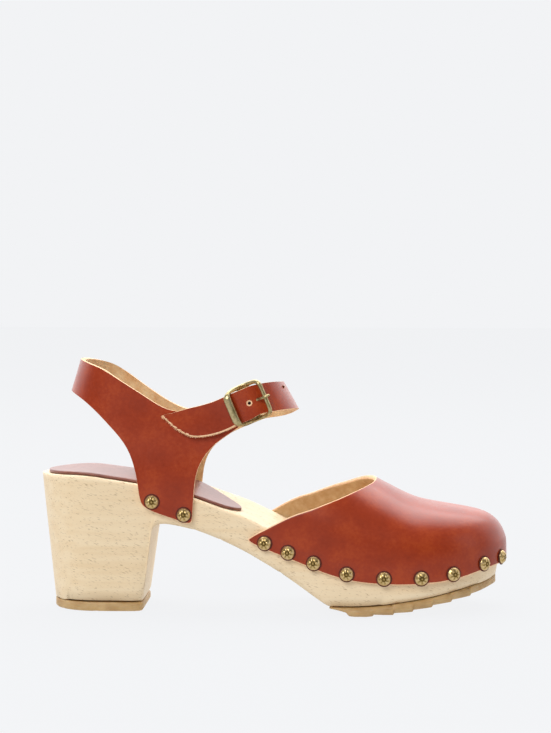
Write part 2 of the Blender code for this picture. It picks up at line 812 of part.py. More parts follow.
def fold_rung(row, steps):
    turn = math.radians(row[0])
    side = INNER if row[0] > 0 else OUTER
    lift = 0.0 if side == INNER else strap_lift(row[3])
    ahead = abs(math.cos(turn)) ** (2 / FOLD_SQUARE)
    aside = abs(math.sin(turn)) ** (2 / FOLD_SQUARE)
    low_z = UPPER_HEIGHT * row[1] - STRAP_WIDTH * row[2] / 2
    top_z = UPPER_HEIGHT * row[1] + STRAP_WIDTH * row[2] / 2
    low_x, top_x = ahead_of_ankle(FOLD_LOW_PLACE), ahead_of_ankle(FOLD_TOP_PLACE)
    low_y = (side_face(low_x, low_z, side) + side * lift) * aside
    top_y = (side_face(top_x, top_z, side) + side * lift) * aside
    low = Vector((low_x + FOLD_LOW_REACH * ahead, low_y, low_z))
    top = Vector((top_x + FOLD_TOP_REACH * ahead, top_y, top_z))
    return [low.lerp(top, k / steps) for k in range(steps + 1)]


def build_quarter(surface):
    steps = 6
    rungs = [strap_rung(row, BUCKLE_HALF_LENGTH, steps, 0.0) for row in ARM_END[::-1]]
    rungs += [side_rung(row, OUTER, steps) for row in OUTER_SIDE[::-1]]
    rungs += [heel_rung(row, OUTER, steps) for row in HEEL_BAND[:-1]]
    rungs += [heel_rung(row, INNER, steps) for row in HEEL_BAND[::-1]]
    rungs += [side_rung(row, INNER, steps) for row in INNER_SIDE]
    rungs += [fold_rung(row, steps) for row in FOLD]
    rungs += [strap_rung(row, STRAP_END_LENGTH, steps, strap_lift(row[4])) for row in STRAP_END]
    inside = Vector((ANKLE_CENTRE, 0, UPPER_HEIGHT * BUCKLE_LEVEL))
    return add_sheet("quarter_strap", loft(rungs, closed_ring=False), surface, inside)


def buckle_point(ahead, across, out):
    """Point of the buckle: ahead along the strap, across it, and out from the centre bar."""
    c, s = math.cos(BUCKLE_TILT), math.sin(BUCKLE_TILT)
    x = ahead_of_ankle(BUCKLE_PLACE) + ahead * c - across * s
    z = UPPER_HEIGHT * BUCKLE_LEVEL + ahead * s + across * c
    return Vector((x, BAR_SETBACK - ANKLE_HALF_WIDTH - out, z))


def strap_face():
    """How far out from the centre bar the strap's outer face lies under the buckle."""
    return BAR_SETBACK + strap_lift(1.0)


def front_rise():
    return strap_face() + BUCKLE_WIRE - FRONT_DIP


def build_roll(surface):
    """End of the short arm rolled round the centre bar."""
    ends = [buckle_point(0, -ROLL_WIDTH / 2, 0), buckle_point(0, ROLL_WIDTH / 2, 0)]
    roll = add_object("cut_roll", tube(ends, [ROLL_RADIUS] * 2, 16), surface, cutter=True)
    ends = [buckle_point(0, -ROLL_WIDTH, 0), buckle_point(0, ROLL_WIDTH, 0)]
    bore = add_object("cut_bore", tube(ends, [ROLL_BORE + CLEARANCE] * 2, 16), surface, cutter=True)
    return roll, bore


def block(ahead, across, out):
    """Box in the buckle's own directions, each given as a pair of limits."""
    rings = []
    for a in ahead:
        corners = ((across[0], out[0]), (across[1], out[0]), (across[1], out[1]), (across[0], out[1]))
        rings.append([buckle_point(a, b, c) for b, c in corners])
    return loft(rings)


def build_slot(surface):
    """Gap in the rolled end for the prong's eye."""
    reach = ROLL_RADIUS + 3 * CLEARANCE
    solid = block((-reach, reach), (-ROLL_SLOT / 2, ROLL_SLOT / 2), (-reach, ROLL_RADIUS + CLEARANCE / 2))
    return add_object("cut_slot", solid, surface, cutter=True)


def build_strap_hole(surface):
    ends = [buckle_point(CLEARANCE, 0, ROLL_RADIUS), buckle_point(CLEARANCE, 0, ROLL_RADIUS + 4 * LEATHER)]
    return add_object("cut_hole", tube(ends, [PRONG_HOLE] * 2, 12), surface, cutter=True)


def build_buckle(surface):
    """Bowed frame: thick rear bar, waisted front bar, side bars that dip to the centre bar."""
    rear_rise = strap_face() + REAR_BAR_WIRE + CLEARANCE
    path, radii = [], []
    count = 40
    for k in range(count):
        turn = 2 * math.pi * k / count
        c, s = math.cos(turn), math.sin(turn)
        ahead = BUCKLE_HALF_LENGTH * math.copysign(abs(c) ** BUCKLE_SQUARE, c)
        across = BUCKLE_HALF_WIDTH * math.copysign(abs(s) ** BUCKLE_SQUARE, s)
        level = (ahead / BUCKLE_HALF_LENGTH) ** 2
        rise = rear_rise if ahead < 0 else front_rise()
        path.append(buckle_point(ahead, across, BAR_OFFSET + (rise - BAR_OFFSET) * level ** 0.8))
        middle = 1 - abs(across) / BUCKLE_HALF_WIDTH
        if ahead < -0.6 * BUCKLE_HALF_LENGTH:
            radii.append(BUCKLE_WIRE + (REAR_BAR_WIRE - BUCKLE_WIRE) * smooth_step(middle * 3))
        else:
            radii.append(BUCKLE_WIRE * 1.12 - BUCKLE_WIRE * 0.12 * smooth_step(middle * 2))
    frame = add_object("buckle_frame", tube(path, radii, 10, closed=True), surface, 60.0)
    ends = [buckle_point(0, side * BUCKLE_HALF_WIDTH, BAR_OFFSET) for side in (OUTER, INNER)]
    bar = add_object("cut_bar", tube(ends, [BUCKLE_WIRE * 1.05] * 2, 10), surface, cutter=True)
    cut(frame, bar, "UNION")
    return frame


def build_prong(surface):
    """Prong: an eye round the centre bar and a pin out through the strap onto the front bar."""
    rest = front_rise() + BUCKLE_WIRE + PRONG_RADIUS + CLEARANCE
    points = [buckle_point(ahead * BUCKLE_HALF_LENGTH, 0, out * rest) for ahead, out in PRONG_ROUTE]
    radii = [PRONG_RADIUS] * (len(points) - 1) + [PRONG_RADIUS * 0.8]
    prong = add_object("buckle_prong", tube(points, radii, 8), surface, 60.0)
    ends = [buckle_point(0, -PRONG_EYE_WIDTH / 2, 0), buckle_point(0, PRONG_EYE_WIDTH / 2, 0)]
    eye = add_object("cut_eye", tube(ends, [PRONG_EYE] * 2, 14), surface, cutter=True)
    ends = [buckle_point(0, -PRONG_EYE_WIDTH, 0), buckle_point(0, PRONG_EYE_WIDTH, 0)]
    hole = add_object("cut_eye_hole", tube(ends, [BUCKLE_WIRE + 2 * CLEARANCE] * 2, 14), surface, cutter=True)
    cut(prong, eye, "UNION")
    cut(prong, hole, "DIFFERENCE")
    return prong


def nail_mesh(surface):
    """Domed head turned about Z, its flat seat at the origin."""
    segments = 12
    bm = bmesh.new()
    profile = ((1.0, 0.0), (1.0, NAIL_RIM / NAIL_RISE), (0.82, 0.66), (0.48, 0.92))
    rings = []
    for radius, height in profile:
        turns = [2 * math.pi * k / segments for k in range(segments)]
        r = NAIL_RADIUS * radius
        rings.append([bm.verts.new((r * math.cos(a), r * math.sin(a), NAIL_RISE * height)) for a in turns])
    for lower, upper in zip(rings, rings[1:]):
        for k in range(segments):
            j = (k + 1) % segments
            bm.faces.new((lower[k], lower[j], upper[j], upper[k]))
    bm.faces.new(rings[0][::-1])
    top = bm.verts.new((0, 0, NAIL_RISE))
    for k in range(segments):
        bm.faces.new((rings[-1][k], rings[-1][(k + 1) % segments], top))
    bmesh.ops.recalc_face_normals(bm, faces=bm.faces)
    mesh = bpy.data.meshes.new("nail")
    bm.to_mesh(mesh)
    bm.free()
    mesh.materials.append(surface)
    for face in mesh.polygons:
        face.use_smooth = True
    mesh.set_sharp_from_angle(angle=math.radians(50))
    return mesh


def add_nail(name, mesh, seat, outward):
    nail = bpy.data.objects.new(name, mesh)
    nail.matrix_world = Matrix.Translation(seat) @ outward.to_track_quat("Z", "Y").to_matrix().to_4x4()
    shoe.objects.link(nail)


def build_nails(surface):
    mesh = nail_mesh(surface)
    for side, label in ((OUTER, "outer"), (INNER, "inner")):
        number = 1
        for share in VAMP_NAILS:
            x = along(share)
            low = SEAT_HEIGHT * read_curve(VAMP_LOW, share)
            step = 0.002
            slope = (vamp_base(x + step, side) - vamp_base(x - step, side)) / (2 * step)
            outward = Vector((-slope, 1.0, 0.0)).normalized() * side
            seat = Vector((x, vamp_base(x, side), low + NAIL_MARGIN)) + outward * CLEARANCE
            add_nail(f"nail_{label}_{number}", mesh, seat, outward)
            number += 1
        for degrees in TOE_NAIL_TURNS:
            turn = math.radians(degrees)
            base = vamp_toe_base(turn, side)
            low = SEAT_HEIGHT * read_curve(VAMP_LOW, share_of(base.x))
            ahead = vamp_toe_base(turn + 0.02, side) - vamp_toe_base(turn - 0.02, side)
            outward = Vector((ahead.y, -ahead.x, 0.0)).normalized() * -side
            seat = Vector((base.x, base.y, low + NAIL_MARGIN)) + outward * CLEARANCE
            add_nail(f"nail_{label}_{number}", mesh, seat, outward)
            number += 1
        for number, (share, height) in enumerate(STEM_NAILS, 1):
            x, z = ahead_of_ankle(share), UPPER_HEIGHT * height
            seat = Vector((x, side_face(x, z, side) + side * CLEARANCE, z))
            add_nail(f"nail_stem_{label}_{number}", mesh, seat, Vector((0, side, 0)))


for old in list(bpy.data.objects):
    bpy.data.objects.remove(old, do_unlink=True)

shoe = bpy.data.collections.new("clog_sandal")
cutters = bpy.data.collections.new("cutters")
bpy.context.scene.collection.children.link(shoe)
bpy.context.scene.collection.children.link(cutters)

beech = material("beech", (0.80, 0.63, 0.42), 0.55)
tread_rubber = material("tread_rubber", (0.45, 0.31, 0.15), 0.6)
lift_rubber = material("lift_rubber", (0.45, 0.31, 0.16), 0.6)
upper_leather = material("upper_leather", (0.30, 0.03, 0.005), 0.4)
strap_leather = material("strap_leather", (0.30, 0.03, 0.005), 0.4)
sock_leather = material("sock_leather", (0.22, 0.05, 0.02), 0.35)
frame_brass = material("frame_brass", (0.45, 0.36, 0.15), 0.35, 1.0)
prong_brass = material("prong_brass", (0.45, 0.36, 0.15), 0.35, 1.0)
nail_brass = material("nail_brass", (0.55, 0.40, 0.16), 0.35, 1.0)

build_sole(beech)
build_outsole(tread_rubber)
build_lift(lift_rubber)
build_sock(sock_leather)
build_vamp(upper_leather)
quarter_strap = build_quarter(strap_leather)
arm_roll, arm_bore = build_roll(strap_leather)
arm_slot = build_slot(strap_leather)
strap_hole = build_strap_hole(strap_leather)
cut(quarter_strap, arm_roll, "UNION")
cut(quarter_strap, arm_bore, "DIFFERENCE")
cut(quarter_strap, arm_slot, "DIFFERENCE")
cut(quarter_strap, strap_hole, "DIFFERENCE")
build_buckle(frame_brass)
build_prong(prong_brass)
build_nails(nail_brass)
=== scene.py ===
import math
import random

import bmesh
import bpy
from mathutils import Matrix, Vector
from mathutils.bvhtree import BVHTree


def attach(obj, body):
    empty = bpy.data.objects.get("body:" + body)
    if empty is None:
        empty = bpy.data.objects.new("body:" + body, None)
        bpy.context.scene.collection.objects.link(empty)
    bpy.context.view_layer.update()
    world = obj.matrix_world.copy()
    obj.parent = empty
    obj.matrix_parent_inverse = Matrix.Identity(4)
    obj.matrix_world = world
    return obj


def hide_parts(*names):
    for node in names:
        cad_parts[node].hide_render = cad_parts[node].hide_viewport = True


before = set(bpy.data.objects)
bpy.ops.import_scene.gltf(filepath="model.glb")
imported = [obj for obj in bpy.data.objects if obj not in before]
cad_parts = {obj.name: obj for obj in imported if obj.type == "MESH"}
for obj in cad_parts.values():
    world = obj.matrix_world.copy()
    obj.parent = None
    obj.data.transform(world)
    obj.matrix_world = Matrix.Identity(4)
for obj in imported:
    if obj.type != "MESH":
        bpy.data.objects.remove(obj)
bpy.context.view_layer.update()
scene = bpy.context.scene
mm = 0.001


def linear(hexColour):
    parts = [int(hexColour[i:i + 2], 16) / 255 for i in (1, 3, 5)]
    return tuple(p / 12.92 if p <= 0.04045 else ((p + 0.055) / 1.055) ** 2.4 for p in parts) + (1.0,)


def addNode(tree, kind, settings, links):
    made = tree.nodes.new(kind)
    for key, value in settings.items():
        if isinstance(key, int) or key in made.inputs:
            made.inputs[key].default_value = value
        else:
            setattr(made, key, value)
    for key, source in links.items():
        tree.links.new(source, made.inputs[key])
    return made


def newMaterial(name):
    # an empty material, its tree, and the place of each point on the piece
    made = bpy.data.materials.new(name)
    made.use_nodes = True
    made.node_tree.nodes.clear()
    where = addNode(made.node_tree, "ShaderNodeTexCoord", {}, {})
    return made, made.node_tree, where.outputs["Object"]


def setRamp(ramp, stops):
    points = ramp.color_ramp.elements
    while len(points) > 1:
        points.remove(points[0])
    for i, (place, hexColour) in enumerate(stops):
        point = points.new(place) if i else points[0]
        point.position = place
        point.color = linear(hexColour)


def copyNode(nodeName):
    shape = bmesh.new()
    shape.from_mesh(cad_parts[nodeName].data)
    bmesh.ops.remove_doubles(shape, verts=shape.verts, dist=1e-6)
    bmesh.ops.join_triangles(shape, faces=shape.faces, angle_face_threshold=math.radians(40),
                             angle_shape_threshold=math.radians(60))
    return shape


def creaseEdges(shape, turn, amount):
    crease = shape.edges.layers.float.new("crease_edge")
    for edge in shape.edges:
        if edge.calc_face_angle(0) > turn:
            edge[crease] = amount


def regionsOf(shape, limit):
    # faces that join across edges flatter than limit, largest area first
    shape.faces.ensure_lookup_table()
    seen = set()
    found = []
    for start in shape.faces:
        if start.index in seen:
            continue
        seen.add(start.index)
        group = [start]
        for face in group:
            for edge in face.edges:
                if edge.calc_face_angle(math.pi) > limit:
                    continue
                for other in edge.link_faces:
                    if other.index not in seen:
                        seen.add(other.index)
                        group.append(other)
        found.append(group)
    return sorted(found, key=lambda group: -sum(f.calc_area() for f in group))


def finishPiece(shape, name, nodeNames, materials):
    mesh = bpy.data.meshes.new(name)
    shape.to_mesh(mesh)
    shape.free()
    for m in materials:
        mesh.materials.append(m)
    mesh.shade_smooth()
    made = bpy.data.objects.new(name, mesh)
    scene.collection.objects.link(made)
    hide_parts(*nodeNames)
    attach(made, "root")
    return made


def refine(piece, levels):
    smooth = piece.modifiers.new("refine", "SUBSURF")
    smooth.levels = levels
    smooth.render_levels = levels
    smooth.quality = 3


def placeAimed(made, place, aim):
    made.location = place
    made.rotation_euler = (Vector(aim) - Vector(place)).to_track_quat("-Z", "Y").to_euler()
    scene.collection.objects.link(made)


# camera: level with the shoe's outer side and a little above it, through a long lens
view = {"place": (0.15708, -1.4957, 0.21774), "aim": (0.09178, 0.0, 0.1249), "lens": 141.67, "film": 36}
eye = bpy.data.cameras.new("sideCamera")
eye.lens = view["lens"]
eye.sensor_width = view["film"]
eye.clip_end = 20
eyeObject = bpy.data.objects.new("sideCamera", eye)
placeAimed(eyeObject, view["place"], view["aim"])
scene.camera = eyeObject
scene.view_settings.view_transform = "Standard"

# the white sweep behind the shoe is brighter than the room in front of it, and seen by itself it is even
studio = {"paper": "#F2F3F5", "front": 0.20, "back": 1.65, "above": 0.25}
world = bpy.data.worlds.new("studio")
scene.world = world
world.use_nodes = True
tree = world.node_tree
tree.nodes.clear()
around = addNode(tree, "ShaderNodeTexCoord", {}, {})
split = addNode(tree, "ShaderNodeSeparateXYZ", {}, {"Vector": around.outputs["Generated"]})
away = addNode(tree, "ShaderNodeMapRange",
               {"From Min": -0.1, "From Max": 0.5, "To Min": studio["front"], "To Max": studio["back"],
                "interpolation_type": "SMOOTHSTEP"}, {"Value": split.outputs["Y"]})
rise = addNode(tree, "ShaderNodeMath", {"operation": "MULTIPLY_ADD", 1: studio["above"]},
               {0: split.outputs["Z"], 2: away.outputs[0]})
glow = addNode(tree, "ShaderNodeBackground", {"Color": linear(studio["paper"])},
               {"Strength": rise.outputs[0]})
paper = addNode(tree, "ShaderNodeBackground", {"Color": linear(studio["paper"]), "Strength": 1.0}, {})
ray = addNode(tree, "ShaderNodeLightPath", {}, {})
pick = addNode(tree, "ShaderNodeMixShader", {},
               {0: ray.outputs["Is Camera Ray"], 1: glow.outputs[0], 2: paper.outputs[0]})
addNode(tree, "ShaderNodeOutputWorld", {}, {"Surface": pick.outputs[0]})

lamps = {
    "overhead": {"place": (0.10, 0.60, 1.30), "aim": (0.09, 0, 0.05), "size": (2.0, 1.4), "watts": 24},
    "front": {"place": (-0.75, -1.5, 1.25), "aim": (0.09, 0, 0.06), "size": (1.2, 1.0), "watts": 24},
    "toeSide": {"place": (1.5, -0.5, 0.6), "aim": (0.12, 0, 0.05), "size": (0.6, 1.0), "watts": 2},
}
for name, s in lamps.items():
    lamp = bpy.data.lights.new(name, "AREA")
    lamp.shape = "RECTANGLE"
    lamp.size, lamp.size_y = s["size"]
    lamp.energy = s["watts"]
    lampObject = bpy.data.objects.new(name, lamp)
    lampObject.visible_camera = False
    placeAimed(lampObject, s["place"], s["aim"])

floorSheet = {"half": 3.0, "matt": "#F0F3F5", "mattShare": 0.03, "own": 0.99}
# matt paper: mostly its own even white, with a little shading for the contact shadow
mattPaper, tree = newMaterial("mattPaper")[:2]
own = addNode(tree, "ShaderNodeEmission", {"Color": linear(studio["paper"]), "Strength": floorSheet["own"]},
              {})
lit = addNode(tree, "ShaderNodeBsdfDiffuse", {"Color": linear(floorSheet["matt"])}, {})
both = addNode(tree, "ShaderNodeMixShader", {0: floorSheet["mattShare"]},
               {1: own.outputs[0], 2: lit.outputs[0]})
addNode(tree, "ShaderNodeOutputMaterial", {}, {"Surface": both.outputs[0]})

shape = bmesh.new()
bmesh.ops.create_grid(shape, x_segments=1, y_segments=1, size=floorSheet["half"])
mesh = bpy.data.meshes.new("floor")
shape.to_mesh(mesh)
shape.free()
mesh.materials.append(mattPaper)
floor = bpy.data.objects.new("floor", mesh)
scene.collection.objects.link(floor)
print("stage: camera, lights, floor")

# lengths in the finishes' dictionaries are in millimetres
leather = {"base": "#962F06", "dark": "#8A2904", "light": "#A23A0C", "patch": 14, "mottle": 1.6, "grain": 0.9,
           "pore": 0.5, "rough": 0.34}
foldHighlight = {"colour": "#DDB3A2", "point": 0.45, "fromX": 93, "toX": 112, "aboveZ": 90, "share": 0.55}
# vegetable-tanned leather, waxed: a deep even red-brown that shines softly; its pores are drawn about three
# times their real size, so that they show
waxedLeather, tree, at = newMaterial("waxedVegetableTannedLeather")
patches = addNode(tree, "ShaderNodeTexNoise", {"Scale": 1 / (leather["patch"] * mm), "Detail": 3.0,
                                               "Roughness": 0.5}, {"Vector": at})
mottle = addNode(tree, "ShaderNodeTexNoise", {"Scale": 1 / (leather["mottle"] * mm), "Detail": 4.0,
                                              "Roughness": 0.6}, {"Vector": at})
depth = addNode(tree, "ShaderNodeMath", {"operation": "MULTIPLY_ADD", 1: 0.6},
                {0: mottle.outputs["Fac"], 2: patches.outputs["Fac"]})
tone = addNode(tree, "ShaderNodeValToRGB", {}, {0: depth.outputs[0]})
setRamp(tone, [(0.55, leather["dark"]), (0.8, leather["base"]), (1.0, leather["light"])])
# painted highlight: pinkish white points where the strap is bent at its front fold
points = addNode(tree, "ShaderNodeTexNoise", {"Scale": 1 / (foldHighlight["point"] * mm), "Detail": 1.0},
                 {"Vector": at})
point = addNode(tree, "ShaderNodeMapRange", {"From Min": 0.58, "From Max": 0.66, "To Max": foldHighlight["share"]},
                {"Value": points.outputs["Fac"]})
split = addNode(tree, "ShaderNodeSeparateXYZ", {}, {"Vector": at})
forward = addNode(tree, "ShaderNodeMapRange", {"From Min": foldHighlight["fromX"] * mm, "From Max": foldHighlight["toX"] * mm},
                  {"Value": split.outputs["X"]})
high = addNode(tree, "ShaderNodeMath", {"operation": "GREATER_THAN", 1: foldHighlight["aboveZ"] * mm},
               {0: split.outputs["Z"]})
fold = addNode(tree, "ShaderNodeMath", {"operation": "MULTIPLY"}, {0: forward.outputs[0], 1: high.outputs[0]})
foldHighlightMask = addNode(tree, "ShaderNodeMath", {"operation": "MULTIPLY"}, {0: fold.outputs[0], 1: point.outputs[0]})
hide = addNode(tree, "ShaderNodeMix", {"data_type": "RGBA", 7: linear(foldHighlight["colour"])},
               {0: foldHighlightMask.outputs[0], 6: tone.outputs[0]})
pores = addNode(tree, "ShaderNodeTexVoronoi", {"Scale": 1 / (leather["pore"] * mm), "feature": "F1"},
                {"Vector": at})
poreDip = addNode(tree, "ShaderNodeMapRange", {"From Min": 0.0, "From Max": 0.45},
                  {"Value": pores.outputs["Distance"]})
grain = addNode(tree, "ShaderNodeTexNoise", {"Scale": 1 / (leather["grain"] * mm), "Detail": 3.0,
                                             "Roughness": 0.55}, {"Vector": at})
height = addNode(tree, "ShaderNodeMath", {"operation": "MULTIPLY_ADD", 1: 0.35},
                 {0: poreDip.outputs[0], 2: grain.outputs["Fac"]})
bump = addNode(tree, "ShaderNodeBump", {"Strength": 0.22, "Distance": 0.12 * mm},
               {"Height": height.outputs[0]})
roughness = addNode(tree, "ShaderNodeMapRange",
                    {"From Min": 0.3, "From Max": 0.7, "To Min": leather["rough"] - 0.06,
                     "To Max": leather["rough"] + 0.08}, {"Value": mottle.outputs["Fac"]})
skin = addNode(tree, "ShaderNodeBsdfPrincipled",
               {"IOR": 1.5, "Specular IOR Level": 0.22, "Coat Weight": 0.35, "Coat Roughness": 0.3},
               {"Base Color": hide.outputs[2], "Roughness": roughness.outputs[0], "Normal": bump.outputs[0]})
addNode(tree, "ShaderNodeOutputMaterial", {}, {"Surface": skin.outputs[0]})

flesh = {"warm": "#C99A68", "pale": "#E0C396", "blot": 5, "fibre": 0.8}
# flesh side of the hide, only brushed: pale tan, matt and fibrous
fleshSide, tree, at = newMaterial("brushedFleshSide")
blots = addNode(tree, "ShaderNodeTexNoise",
                {"Scale": 1 / (flesh["blot"] * mm), "Detail": 4.0, "Roughness": 0.6},
                {"Vector": at})
tone = addNode(tree, "ShaderNodeValToRGB", {}, {0: blots.outputs["Fac"]})
setRamp(tone, [(0.3, flesh["warm"]), (0.7, flesh["pale"])])
fibres = addNode(tree, "ShaderNodeTexNoise", {"Scale": 1 / (flesh["fibre"] * mm), "Detail": 5.0,
                                              "Roughness": 0.7}, {"Vector": at})
bump = addNode(tree, "ShaderNodeBump", {"Strength": 0.6, "Distance": 0.25 * mm},
               {"Height": fibres.outputs["Fac"]})
skin = addNode(tree, "ShaderNodeBsdfPrincipled", {"IOR": 1.45, "Roughness": 0.85, "Sheen Weight": 0.15},
               {"Base Color": tone.outputs[0], "Normal": bump.outputs[0]})
addNode(tree, "ShaderNodeOutputMaterial", {}, {"Surface": skin.outputs[0]})

cutEdge = {"pale": "#F2CBA4", "dark": "#DDAE80", "blot": 1.4}
# raw cut edge of the hide, knifed and left undyed: pale peach with short fibres
rawEdge, tree, at = newMaterial("knifedRawLeatherEdge")
blots = addNode(tree, "ShaderNodeTexNoise", {"Scale": 1 / (cutEdge["blot"] * mm), "Detail": 4.0,
                                             "Roughness": 0.65}, {"Vector": at})
tone = addNode(tree, "ShaderNodeValToRGB", {}, {0: blots.outputs["Fac"]})
setRamp(tone, [(0.3, cutEdge["dark"]), (0.6, cutEdge["pale"])])
bump = addNode(tree, "ShaderNodeBump", {"Strength": 0.5, "Distance": 0.15 * mm},
               {"Height": blots.outputs["Fac"]})
skin = addNode(tree, "ShaderNodeBsdfPrincipled", {"IOR": 1.45, "Roughness": 0.8},
               {"Base Color": tone.outputs[0], "Normal": bump.outputs[0]})
addNode(tree, "ShaderNodeOutputMaterial", {}, {"Surface": skin.outputs[0]})

# painted shade: a nearly black, matt cap stands for the depth of a punched hole
darkHole, tree = newMaterial("punchedHoleShade")[:2]
skin = addNode(tree, "ShaderNodeBsdfPrincipled", {"Base Color": linear("#2A0F08"), "Roughness": 0.9}, {})
addNode(tree, "ShaderNodeOutputMaterial", {}, {"Surface": skin.outputs[0]})
print("leather finishes")

# the buckle's own directions, which rise with the strap
buckle = {"centre": Vector((0.0796, -0.0268, 0.1081)), "rise": math.radians(23)}
ahead = Vector((math.cos(buckle["rise"]), 0, math.sin(buckle["rise"])))
across = Vector((-math.sin(buckle["rise"]), 0, math.cos(buckle["rise"])))
outward = Vector((0, -1, 0))


def seatOf(nodeName):
    # the flat seat is the direction in which most of a nail node's area faces
    areas = {}
    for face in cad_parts[nodeName].data.polygons:
        key = tuple(round(c, 2) for c in face.normal)
        total, normal, middle = areas.get(key, (0, Vector(), Vector()))
        areas[key] = (total + face.area, normal + face.normal * face.area, middle + face.center * face.area)
    total, normal, middle = max(areas.values(), key=lambda entry: entry[0])
    return middle / total, -normal.normalized()


nailNodes = [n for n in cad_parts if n.startswith("nail_")]
seats = {name: seatOf(name) for name in nailNodes}

upper = {"turn": math.radians(50), "edge": 0.5 * mm, "crease": 0.55, "creaseTurn": math.radians(30),
         "refine": 2, "press": 0.35 * mm, "pressReach": 7 * mm}
cutIndex, holeIndex = 2, 3  # places of the raw edge and of the dark hole in a leather piece's materials


def leatherPiece(nodeName, name):
    # outer side, inner side and rims get their own finish, and the rims are eased
    shape = copyNode(nodeName)
    for i, group in enumerate(regionsOf(shape, upper["turn"])):
        for face in group:
            face.material_index = min(i, cutIndex)
    rims = [e for e in shape.edges if e.calc_face_angle(0) > upper["turn"]
            and {f.material_index for f in e.link_faces} != {cutIndex}]
    eased = bmesh.ops.bevel(shape, geom=rims, affect="EDGES", offset=upper["edge"], segments=1, profile=0.5,
                            material=-1, clamp_overlap=True)
    for face in eased["faces"]:
        face.material_index = cutIndex
    creaseEdges(shape, upper["creaseTurn"], upper["crease"])
    piece = finishPiece(shape, name, [nodeName], [waxedLeather, fleshSide, rawEdge])
    refine(piece, upper["refine"])
    # the refined mesh is kept, and pressed in a little round each nail
    bpy.context.view_layer.update()
    fine = bpy.data.meshes.new_from_object(piece.evaluated_get(bpy.context.evaluated_depsgraph_get()))
    piece.modifiers.clear()
    piece.data = fine
    for v in fine.vertices:
        for seat, out in seats.values():
            offset = v.co - seat
            if offset.length < upper["pressReach"]:
                near = 1 - offset.length / upper["pressReach"]
                v.co -= out * upper["press"] * near * near * (3 - 2 * near)
    print(name, len(fine.polygons), "faces")
    return fine


leatherPiece("vamp", "vampLeather")
strap = leatherPiece("quarter_strap", "quarterAndStrapLeather")

# the strap's two holes, by their place ahead of the buckle's centre
holes = {
    "ringed": {"ahead": 0.3 * mm, "outer": 1.7 * mm, "inner": 0.85 * mm, "sunk": 0.25 * mm},
    "plain": {"ahead": 18.1 * mm, "outer": 0.9 * mm, "inner": 0.75 * mm, "sunk": -0.05 * mm},
}
holeSides = 24


def addHole(shape, s):
    # a punched hole seen from outside: pale cut leather round a dark core of painted shade
    start = buckle["centre"] + ahead * s["ahead"] + across * s["outer"] * 0.95 + outward * 30 * mm
    point, normal = BVHTree.FromBMesh(shape).ray_cast(start, -outward)[:2]
    middle = buckle["centre"] + ahead * s["ahead"]
    middle.y = point.y + s["sunk"]
    turn = outward.rotation_difference(normal if normal.dot(outward) > 0.5 else outward)
    rings = []
    for radius, depth in ((s["outer"], 0.25 * mm), (s["outer"], 0.0), (s["inner"], 0.06 * mm),
                          (s["inner"] * 0.95, 0.25 * mm)):
        ring = []
        for k in range(holeSides):
            a = math.tau * k / holeSides
            spoke = (ahead * math.cos(a) + across * math.sin(a)) * radius
            ring.append(shape.verts.new(middle + turn @ (spoke - outward * depth)))
        rings.append(ring)
    for low, high in zip(rings, rings[1:]):
        for k in range(holeSides):
            after = (k + 1) % holeSides
            shape.faces.new((low[k], low[after], high[after], high[k])).material_index = cutIndex
    shape.faces.new(rings[-1]).material_index = holeIndex
    shape.faces.new(rings[0][::-1]).material_index = holeIndex


fray = {"from": 33 * mm, "to": 74 * mm, "near": 7 * mm, "step": 3 * mm, "layer": 1.6 * mm, "tufts": 520}
dice = random.Random(11)


def looseRim(shape):
    # the loose end's lower rim: it faces down, with leather close behind it and none before it
    surface = BVHTree.FromBMesh(shape)
    found = []
    for face in shape.faces:
        spot = face.calc_center_median() + face.normal * 0.4 * mm
        if (face.material_index == cutIndex and face.normal.z < -0.25
                and fray["from"] < spot.x < fray["to"] and spot.y < 0
                and surface.ray_cast(spot, -outward, fray["near"])[0]
                and not surface.ray_cast(spot, outward, fray["near"])[0]):
            found.append((face, face.calc_center_median()))
    outermost = {}
    for face, middle in found:
        key = int(middle.x / fray["step"])
        outermost[key] = min(middle.y, outermost.get(key, 0))
    return [(face, middle) for face, middle in found
            if middle.y < outermost[int(middle.x / fray["step"])] + fray["layer"]]


def addTuft(shape, middle):
    # a few fibres pulled out of the cut, as one thin spike
    root = middle + ahead * dice.uniform(-0.6, 0.6) * mm
    lean = (-across + ahead * dice.uniform(-0.8, 0.8) + outward * dice.uniform(-0.2, 0.9)).normalized()
    wide = dice.uniform(0.10, 0.26) * mm
    foot = [shape.verts.new(root + (ahead * math.cos(a) + outward * math.sin(a)) * wide)
            for a in (0, 2.1, 4.2)]
    tip = shape.verts.new(root + lean * dice.uniform(0.25, 0.75) * mm)
    for k in range(3):
        shape.faces.new((foot[k], foot[(k + 1) % 3], tip)).material_index = cutIndex
    shape.faces.new(foot[::-1]).material_index = cutIndex


strap.materials.append(darkHole)
shape = bmesh.new()
shape.from_mesh(strap)
rim = looseRim(shape)
middles = [middle for face, middle in rim]
for face in shape.faces:  # the undyed layer shows beside the cut, unevenly wide
    place = face.calc_center_median()
    if face.material_index == 0 and min((place - m).length for m in middles) < dice.uniform(0.5, 0.95) * mm:
        face.material_index = cutIndex
for s in holes.values():
    addHole(shape, s)
for i in range(fray["tufts"]):
    addTuft(shape, dice.choice(middles))
shape.to_mesh(strap)
shape.free()
print("strap: holes and frayed rim of", len(rim), "faces")

beech = {"pale": "#EBD5B1", "warm": "#E5CBA3", "fleck": "#9C7B55", "growth": (60, 6, 3.2),
         "fleckSize": (2.3, 1.1, 0.38), "slant": math.radians(-18)}
